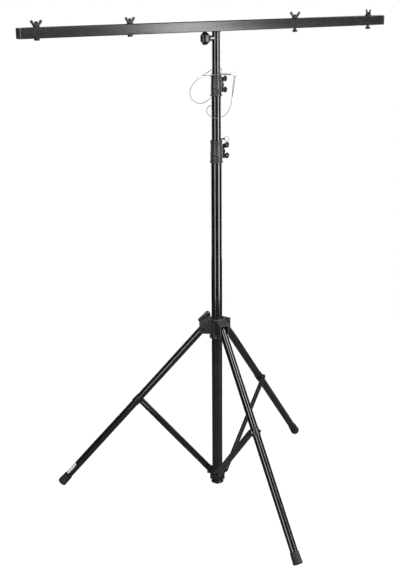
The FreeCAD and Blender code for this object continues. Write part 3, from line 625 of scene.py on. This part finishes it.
HANDLE_ROLL = math.radians(62)
HANDLE_FOOT, HANDLE_HALF_LENGTH, HANDLE_RISE = 40, 25, 20.5
HANDLE_SQUARENESS = 0.55


def tee_handle():
    """T-handle of the hub clamp: a waisted bar on a tapered neck."""
    foot_z = HANDLE_FOOT
    neck = lathe(softened([(0.3, foot_z + 2), (8, foot_z + 2), (7.6, foot_z + 5),
                           (6.4, foot_z + 15), (0.3, foot_z + 17)], 1.0), 48)
    rings = []
    for step in range(25):
        share = step / 12 - 1
        x = HANDLE_HALF_LENGTH * share
        end = max(0.0, 1 - abs(share) ** 9)
        half_wide = (8.6 + 2.2 * share * share) * end ** 0.4 + 0.3
        half_deep = (7.8 + 1.2 * share * share) * end ** 0.4 + 0.3
        ring = []
        for k in range(36):
            angle = math.tau * k / 36
            c, s = math.cos(angle), math.sin(angle)
            wide = math.copysign(abs(c) ** HANDLE_SQUARENESS, c) * half_wide
            deep = math.copysign(abs(s) ** HANDLE_SQUARENESS, s) * half_deep
            ring.append(Vector((x, wide, foot_z + HANDLE_RISE + deep)))
        rings.append(ring)
    handle = moulded([neck, skin(rings)], 0.6, 5, 0.5)
    handle.transform(Matrix.Rotation(HANDLE_ROLL, 4, "Z"))
    return add_piece("hub_knob_moulding", handle, ["hub_knob"], radial("hub_knob_turn"),
                     sharp_angle=60)


# ------------------------------------------------------------------ bolts
def hex_head(across, low, high, domed):
    """Hexagon head or nut along Z; a domed one has a rounded crown."""
    top = high - 0.12 * across if domed else high
    profile = [(0.3, low), (across / 2 - 0.8, low), (across / 2, low + 0.5),
               (across / 2, top - 0.7), (across / 2 - 1.0, top), (across / 4, high), (0.3, high)]
    return lathe(softened(profile, 0.35, steps=2), 48, hexagonal(across, 1.4))


def cross_bolt(low, high, across=11, thread=3.0):
    """Hexagon bolt along Z from the top of its head at low to its end at high, with its nut."""
    head = hex_head(across, 0, 4, True)
    head.transform(Matrix.Translation((0, 0, low + 4)) @ Matrix.Rotation(math.pi, 4, "X"))
    nut = hex_head(across, 0, 4, False)
    nut.transform(Matrix.Translation((0, 0, high - 5)))
    shank = lathe([(0.3, low + 3), (thread, low + 3), (thread, high - 6), (0.3, high - 6)], 24)
    end = threaded(thread, 1.0, high - 6, high, 20, 0.25)
    return joined_meshes(head, nut, shank, end)


def bolts_for(node, spots, low, high):
    """One piece for all the bolts of a CAD node; spots are (place, axis)."""
    meshes = []
    for place, axis in spots:
        bolt = cross_bolt(low, high)
        bolt.transform(axes(place, UP, axis))
        meshes.append(bolt)
    return add_piece(node + "_hex", joined_meshes(*meshes), [node])


LIGHT_BOLT_RADIUS, LIGHT_BOLT_PITCH = 4.9, 1.5
LIGHT_BOLT_SHANK, LIGHT_BOLT_LENGTH = 26, 52


def light_bolts():
    """Four hexagon bolts up through the T-bar, threaded along their upper half."""
    bar_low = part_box("t_bar")[0]
    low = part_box("light_bolts")[0]
    spots = [joint_place(f"wing_nut_{number}_turn").x for number in (1, 2, 3, 4)]
    meshes = []
    for x in spots:
        drop = (bar_low.z - 6 * MM - low.z) if x > 0 else 0
        bottom = (bar_low.z - drop) / MM - 6
        head = hex_head(17, bottom, bottom + 6, False)
        shank_top = bottom + LIGHT_BOLT_SHANK
        shank = lathe([(0.3, bottom + 5), (LIGHT_BOLT_RADIUS, bottom + 5),
                       (LIGHT_BOLT_RADIUS, shank_top), (0.3, shank_top)], 32)
        thread = threaded(LIGHT_BOLT_RADIUS, LIGHT_BOLT_PITCH, shank_top,
                          bottom + LIGHT_BOLT_LENGTH, 28, 0.5)
        bolt = joined_meshes(head, shank, thread)
        bolt.transform(Matrix.Translation((x, 0, 0)) @ Matrix.Scale(MM, 4))
        meshes.append(bolt)
    return add_piece("light_bolts_hex", joined_meshes(*meshes), ["light_bolts"])


# ------------------------------------------------------------------ tripod
LEG_PIVOT = {1: "hub_on_leg_1", 2: "leg_2_fold", 3: "leg_3_fold"}
BRACE_PIVOT = {1: "leg_1_on_brace", 2: "brace_2_on_leg", 3: "brace_3_on_leg"}
FOOT_FROM_PIVOT, FOOT_SOLE, FOOT_LENGTH = 765.2, 3.0, 38.0


def leg_placement(number, along):
    """Millimetre frame on a leg: Z up the leg, X in its upright plane, origin along it."""
    top = joint_place(LEG_PIVOT[number])
    upward = (top - joint_place(BRACE_PIVOT[number])).normalized()
    return axes(top - upward * along * MM, UP, upward)


def foot(number):
    """Ribbed rubber boot, worn flat where it meets the floor."""
    body = [(0.4, 0), (10.5, 0), (14.6, 1.2), (15.6, 4.5), (15.6, 8.6)]
    for rib in range(4):
        z = 10 + 5.2 * rib
        body += [(14.5, z), (14.5, z + 1.3), (15.4 - 0.2 * rib, z + 2.4),
                 (15.4 - 0.2 * rib, z + 4.2)]
    body += [(14.0, 32), (14.0, 34.5), (14.9, 35.6), (14.9, FOOT_LENGTH), (12.55, FOOT_LENGTH),
             (12.55, 7), (0.4, 7)]
    boot = lathe(softened(body, 0.7, steps=3), 72)
    boot.transform(leg_placement(number, FOOT_FROM_PIVOT + FOOT_SOLE))
    for vertex in boot.vertices:
        vertex.co.z = max(vertex.co.z, 0.0)
    return add_piece(f"leg_foot_{number}_rubber", boot, [f"leg_foot_{number}"])


def moulded_copy(node, extra, voxel_mm, passes, keep):
    """The CAD node's own form with moulded corners and extra features melted in."""
    source = frame["nodes"][node].data.copy()
    mesh = moulded([source, *extra], voxel_mm * MM, passes, keep)
    return add_piece(node + "_moulding", mesh, [node], sharp_angle=60)


def hub():
    """Moulded hub with a rim at each end of its bush."""
    low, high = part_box("hub_bush")
    bore = box_radius("hub_bush") - 0.1
    rings = []
    for bottom in (low.z, high.z - 5 * MM):
        rim = lathe(softened([(bore, 0), (25.2, 0), (25.2, 5), (bore, 5)], 0.6, closed=True), 96,
                    joined=True)
        rim.transform(Matrix.Translation((0, 0, bottom)) @ Matrix.Scale(MM, 4))
        rings.append(rim)
    return moulded_copy("hub", rings, 0.85, 5, 0.4)


LABEL_FROM_FOOT = (44.0, 92.0)
LABEL_HALF_ANGLE = math.radians(42)
LABEL_TURN = math.radians(25)


def label():
    """Plain label stuck round the upper side of the left leg, above its foot."""
    radius = box_radius_of_leg() + 0.12
    rows = []
    for row in range(13):
        z = LABEL_FROM_FOOT[0] + (LABEL_FROM_FOOT[1] - LABEL_FROM_FOOT[0]) * row / 12
        outer, inner = [], []
        for k in range(21):
            angle = LABEL_TURN + LABEL_HALF_ANGLE * (k / 10 - 1)
            outer.append(Vector((radius * math.cos(angle), radius * math.sin(angle), z)))
            inner.append(Vector(((radius - 0.1) * math.cos(angle),
                                 (radius - 0.1) * math.sin(angle), z)))
        rows.append(outer + inner[::-1])
    mesh = skin(rows)
    mesh.transform(leg_placement(2, FOOT_FROM_PIVOT))
    obj = bpy.data.objects.new("leg_label", shaded(mesh))
    bpy.context.scene.collection.objects.link(obj)
    mesh.materials.append(pale_label())
    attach(obj, "leg_2")


def box_radius_of_leg():
    """Leg tube radius, from its top plug's width across the leg plane."""
    centre = joint_place(LEG_PIVOT[1])
    tangent = Vector((-centre.y, centre.x, 0)).normalized()
    points = [vertex.co.dot(tangent) for vertex in frame["nodes"]["leg_tube_1"].data.vertices]
    return (max(points) - min(points)) / 2 / MM


# ------------------------------------------------------------------ safety pins and lanyard
RING_WIRE_RADIUS = 0.55 * MM


def split_ring(name, joint_name):
    """Two flat turns of round wire, with its ends lying side by side."""
    low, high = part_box(name)
    centre = (low + high) / 2
    outward = joint_axis(joint_name)
    radius = (high.z - low.z) / 2 - 1.0 * MM
    path = []
    for step in range(121):
        turn = math.radians(60) + math.tau * 2 * step / 120
        shift = 1.05 * MM * (step / 120 - 0.5)
        path.append(centre + outward * radius * math.cos(turn) + UP * radius * math.sin(turn)
                    + UP.cross(outward) * shift)
    mesh = swept(path, lambda turn: round_section(RING_WIRE_RADIUS, 10))
    return add_piece(name + "_split", mesh, [name])


WIRE_RADIUS = 1.0 * MM
# From the ferrule beside the mast, down and round behind it, through a small loose curl, across
# the front and up to the ferrule below the upper pin's ring.
MAST_FERRULE = (Vector((-0.038, 0.017, 1.407)), Vector((-0.0471, 0.021, 1.4004)))
PIN_FERRULE = (Vector((0.0273, -0.0502, 1.343)), Vector((0.02672, -0.04972, 1.3315)))
ROUTE = [
    (-0.0471, 0.021, 1.4004),
    (-0.062, 0.0275, 1.388), (-0.072, 0.037, 1.366), (-0.068, 0.044, 1.341),
    (-0.047, 0.045, 1.321), (-0.021, 0.043, 1.319), (0.001, 0.041, 1.332),
    (0.015, 0.038, 1.341), (0.024, 0.0335, 1.331), (0.014, 0.033, 1.315),
    (-0.007, 0.0335, 1.311), (-0.025, 0.021, 1.302), (-0.0315, -0.003, 1.290),
    (-0.023, -0.024, 1.281), (-0.006, -0.037, 1.282), (0.010, -0.0445, 1.293),
    (0.021, -0.048, 1.310), (0.0267, -0.0497, 1.331),
]
STRANDS, LAY_LENGTH, ROPE_STEP = 6, 0.013, 0.0008
MAST_EYE_CENTRE, MAST_EYE_RADIUS = Vector((0, 0, 1.42)), 0.0175
MAST_EYE_SIDE = Vector((0.49, 0.87, 0.6))
PIN_EYE_RADIUS = 0.004


def rope_section(turn):
    """Outline of six strands round a core."""
    section = []
    for k in range(30):
        angle = math.tau * k / 30
        reach = WIRE_RADIUS * (0.86 + 0.14 * abs(math.cos(STRANDS / 2 * (angle - turn))))
        section.append((reach * math.cos(angle), reach * math.sin(angle)))
    return section


def rope(path):
    """Twisted strands along a path."""
    return swept(evenly(path, ROPE_STEP), rope_section, math.tau / LAY_LENGTH)


def smooth_route(points):
    """The NURBS line that has the route's points as its control points."""
    curve = bpy.data.curves.new("route", "CURVE")
    curve.dimensions = "3D"
    spline = curve.splines.new("NURBS")
    spline.points.add(len(points) - 1)
    for target, point in zip(spline.points, points):
        target.co = (*point, 1)
    spline.order_u = 3
    spline.use_endpoint_u = True
    spline.resolution_u = 12
    holder = bpy.data.objects.new("route", curve)
    mesh = bpy.data.meshes.new_from_object(holder)
    bpy.data.objects.remove(holder)
    return [vertex.co.copy() for vertex in mesh.vertices]


def eye(name, centre, ferrule_point, radius, side):
    """Eye of the same wire: from the ferrule round a centre and back."""
    towards = ferrule_point - centre
    depth = towards.length - 0.7 * MM
    towards.normalize()
    side = (side - towards * side.dot(towards)).normalized()
    opening = math.acos(radius / depth)
    path = [centre + towards * depth - side * WIRE_RADIUS * 1.05]
    for step in range(49):
        angle = (math.pi - opening) * (step / 24 - 1)
        path.append(centre - towards * radius * math.cos(angle) + side * radius * math.sin(angle))
    path.append(centre + towards * depth + side * WIRE_RADIUS * 1.05)
    return add_piece(name + "_strands", rope(path), [name])


def ferrule(name, ends):
    """Crimped sleeve with three pressed bands."""
    start, end = ends
    length = (end - start).length / MM
    profile = [(0.3, 0), (2.2, 0), (2.6, 0.5)]
    for band in range(3):
        z = length * (band + 1) / 4
        profile += [(2.6, z - 1.2), (2.15, z - 0.5), (2.15, z + 0.5), (2.6, z + 1.2)]
    profile += [(2.6, length - 0.5), (2.2, length), (0.3, length)]
    mesh = lathe(softened(profile, 0.3, steps=2), 32)
    return add_piece(name + "_crimp", mesh, [name], axes(start, UP, end - start))


def lanyard():
    """Wire with an eye and a ferrule at each end, from the mast to the upper pin's ring."""
    eye("mast_eye", MAST_EYE_CENTRE, MAST_FERRULE[0], MAST_EYE_RADIUS, MAST_EYE_SIDE)
    outward = joint_axis("upper_pin_pull")
    ring_low, ring_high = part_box("upper_pin_ring")
    ring_bottom = (ring_low + ring_high) / 2
    ring_bottom.z = ring_low.z + 1.0 * MM
    eye("pin_eye", ring_bottom, PIN_FERRULE[0], PIN_EYE_RADIUS, UP.cross(outward))
    crimps = [ferrule("mast_ferrule", MAST_FERRULE), ferrule("pin_ferrule", PIN_FERRULE)]
    path = smooth_route(ROUTE)
    mesh = rope(path)
    mesh.materials.append(FINISHES["steel_wire"])
    wire = bpy.data.objects.new("lanyard_strands", shaded(mesh, 60))
    bpy.context.scene.collection.objects.link(wire)
    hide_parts("lanyard_wire")
    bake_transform(wire)


# ------------------------------------------------------------------ studio
FLOOR_TOP, FLOOR_UNDERSIDE, FLOOR_RADIUS = -0.0004, -0.01, 4.0
FADE_START, FADE_END = 0.75, 2.2
FLOOR_GREY = (0.12, 0.12, 0.12, 1)
GLOW_ELSEWHERE, GLOW_SEEN = 0.02, 0.94
ROOM_LIGHT = 0.03
WHITE = (1, 1, 1, 1)


def floor():
    """Pale floor that fades into the backdrop; it throws little light back at the stand."""
    mesh = lathe([(0.01, FLOOR_TOP), (1.0, FLOOR_TOP), (FADE_END, FLOOR_TOP),
                  (FLOOR_RADIUS, FLOOR_TOP), (FLOOR_RADIUS, FLOOR_UNDERSIDE),
                  (0.01, FLOOR_UNDERSIDE)], 96)
    obj = bpy.data.objects.new("studio_floor", mesh)
    bpy.context.scene.collection.objects.link(obj)
    finish = Finish("pale_floor").set(Base_Color=FLOOR_GREY, Roughness=0.7,
                                      Specular_IOR_Level=0.15, Emission_Color=WHITE)
    tree = finish.tree
    seen = tree.nodes.new("ShaderNodeLightPath")
    glow = tree.nodes.new("ShaderNodeMapRange")
    glow.inputs["To Min"].default_value = GLOW_ELSEWHERE
    glow.inputs["To Max"].default_value = GLOW_SEEN
    tree.links.new(seen.outputs["Is Camera Ray"], glow.inputs["Value"])
    tree.links.new(glow.outputs["Result"], finish.shader.inputs["Emission Strength"])
    length = tree.nodes.new("ShaderNodeVectorMath")
    length.operation = "LENGTH"
    tree.links.new(finish.place, length.inputs[0])
    fade = tree.nodes.new("ShaderNodeMapRange")
    fade.interpolation_type = "SMOOTHSTEP"
    fade.inputs["From Min"].default_value = FADE_START
    fade.inputs["From Max"].default_value = FADE_END
    fade.inputs["To Min"].default_value = 1.0
    fade.inputs["To Max"].default_value = 0.0
    tree.links.new(length.outputs["Value"], fade.inputs["Value"])
    tree.links.new(fade.outputs["Result"], finish.shader.inputs["Alpha"])
    mesh.materials.append(finish.material)


def backdrop():
    """White to the camera, and a dim room to everything that shines."""
    world = bpy.data.worlds.new("studio")
    world.use_nodes = True
    bpy.context.scene.world = world
    tree = world.node_tree
    room = tree.nodes["Background"]
    room.inputs["Color"].default_value = WHITE
    room.inputs["Strength"].default_value = ROOM_LIGHT
    white = tree.nodes.new("ShaderNodeBackground")
    white.inputs["Color"].default_value = WHITE
    white.inputs["Strength"].default_value = 1.0
    path = tree.nodes.new("ShaderNodeLightPath")
    mix = tree.nodes.new("ShaderNodeMixShader")
    tree.links.new(path.outputs["Is Camera Ray"], mix.inputs["Fac"])
    tree.links.new(room.outputs["Background"], mix.inputs[1])
    tree.links.new(white.outputs["Background"], mix.inputs[2])
    tree.links.new(mix.outputs["Shader"], tree.nodes["World Output"].inputs["Surface"])


def softbox(name, azimuth_deg, distance, height, width, tall, power, aim_height):
    """Area light, at an azimuth seen from the mast, aimed at a point on the mast."""
    light = bpy.data.lights.new(name, "AREA")
    light.shape = "RECTANGLE"
    light.size = width
    light.size_y = tall
    light.energy = power
    obj = bpy.data.objects.new(name, light)
    bpy.context.scene.collection.objects.link(obj)
    angle = math.radians(azimuth_deg)
    obj.location = (distance * math.cos(angle), distance * math.sin(angle), height)
    away = obj.location - Vector((0, 0, aim_height))
    obj.visible_camera = False
    obj.rotation_mode = "QUATERNION"
    obj.rotation_quaternion = away.to_track_quat("Z", "Y")


# Name, azimuth in degrees, distance, height, width, length, power, height it aims at.
LIGHTS = (
    ("right_box", -66, 1.7, 1.5, 0.55, 3.0, 72, 1.1),
    ("left_box", -151, 1.7, 1.5, 0.45, 3.0, 34, 1.1),
    ("top_box", -119, 0.3, 3.9, 2.6, 2.6, 20, 0.8),
    ("back_left_box", 100, 2.2, 1.5, 0.6, 2.8, 26, 1.0),
    ("back_right_box", 25, 2.2, 1.5, 0.6, 2.8, 26, 1.0),
)
CAMERA_PLACE = Vector((-1.5865, -2.8222, 1.7245))
CAMERA_HEADING, CAMERA_PITCH, CAMERA_ROLL = 28.3773, 17.0173, -0.4701
CAMERA_LENS = 65.57


def camera():
    data = bpy.data.cameras.new("camera")
    data.lens = CAMERA_LENS
    obj = bpy.data.objects.new("camera", data)
    bpy.context.scene.collection.objects.link(obj)
    obj.matrix_world = (Matrix.Translation(CAMERA_PLACE)
                        @ Matrix.Rotation(math.radians(-CAMERA_HEADING), 4, "Z")
                        @ Matrix.Rotation(math.radians(90 - CAMERA_PITCH), 4, "X")
                        @ Matrix.Rotation(math.radians(CAMERA_ROLL), 4, "Z"))
    bpy.context.scene.camera = obj


def studio():
    floor()
    backdrop()
    for light in LIGHTS:
        softbox(*light)
    bpy.context.scene.view_settings.view_transform = "Standard"
    camera()


# ------------------------------------------------------------------ the whole stand
# Where each bolt's head and nut end, in millimetres along its axis from its pivot.
BRACE_HEAD, LEG_NUT = -24.9, 18.8
BRACKET_HEAD, BRACKET_NUT = -25.7, -5.0
HUB_HEAD, HUB_NUT = -20.5, 21.5


def build():
    collar("lower_collar", "base_tube", "lower_wing_screw_turn")
    collar("upper_collar", "middle_tube", "upper_wing_screw_turn")
    wing_screw("lower_wing_screw", "lower_wing_screw_turn", "middle_tube")
    wing_screw("upper_wing_screw", "upper_wing_screw_turn", "top_tube")
    for number in (1, 2, 3, 4):
        wing_nut(number)
    light_bolts()
    lobed_knob()
    hub()
    tee_handle()
    moulded_copy("lower_bracket", [], 0.8, 4, 0.4)
    pivots = [(joint_place(LEG_PIVOT[n]), joint_axis(LEG_PIVOT[n])) for n in (1, 2, 3)]
    bolts_for("hub_bolts", pivots, HUB_HEAD, HUB_NUT)
    foot_pivot = joint_place("tripod_fold")
    turns = [Matrix.Rotation(math.radians(120 * k), 3, "Z") for k in range(3)]
    bolts_for("bracket_bolts",
              [(turn @ foot_pivot, turn @ joint_axis("tripod_fold")) for turn in turns],
              BRACKET_HEAD, BRACKET_NUT)
    for number in (1, 2, 3):
        foot(number)
        bolts_for(f"leg_bolt_{number}",
                  [(joint_place(BRACE_PIVOT[number]), joint_axis(BRACE_PIVOT[number]))],
                  BRACE_HEAD, LEG_NUT)
    label()
    split_ring("upper_pin_ring", "upper_pin_pull")
    split_ring("lower_pin_ring", "lower_pin_pull")
    lanyard()
    for name, obj in frame["nodes"].items():
        if not obj.hide_render:
            dress_cad_node(name)
    studio()


build()
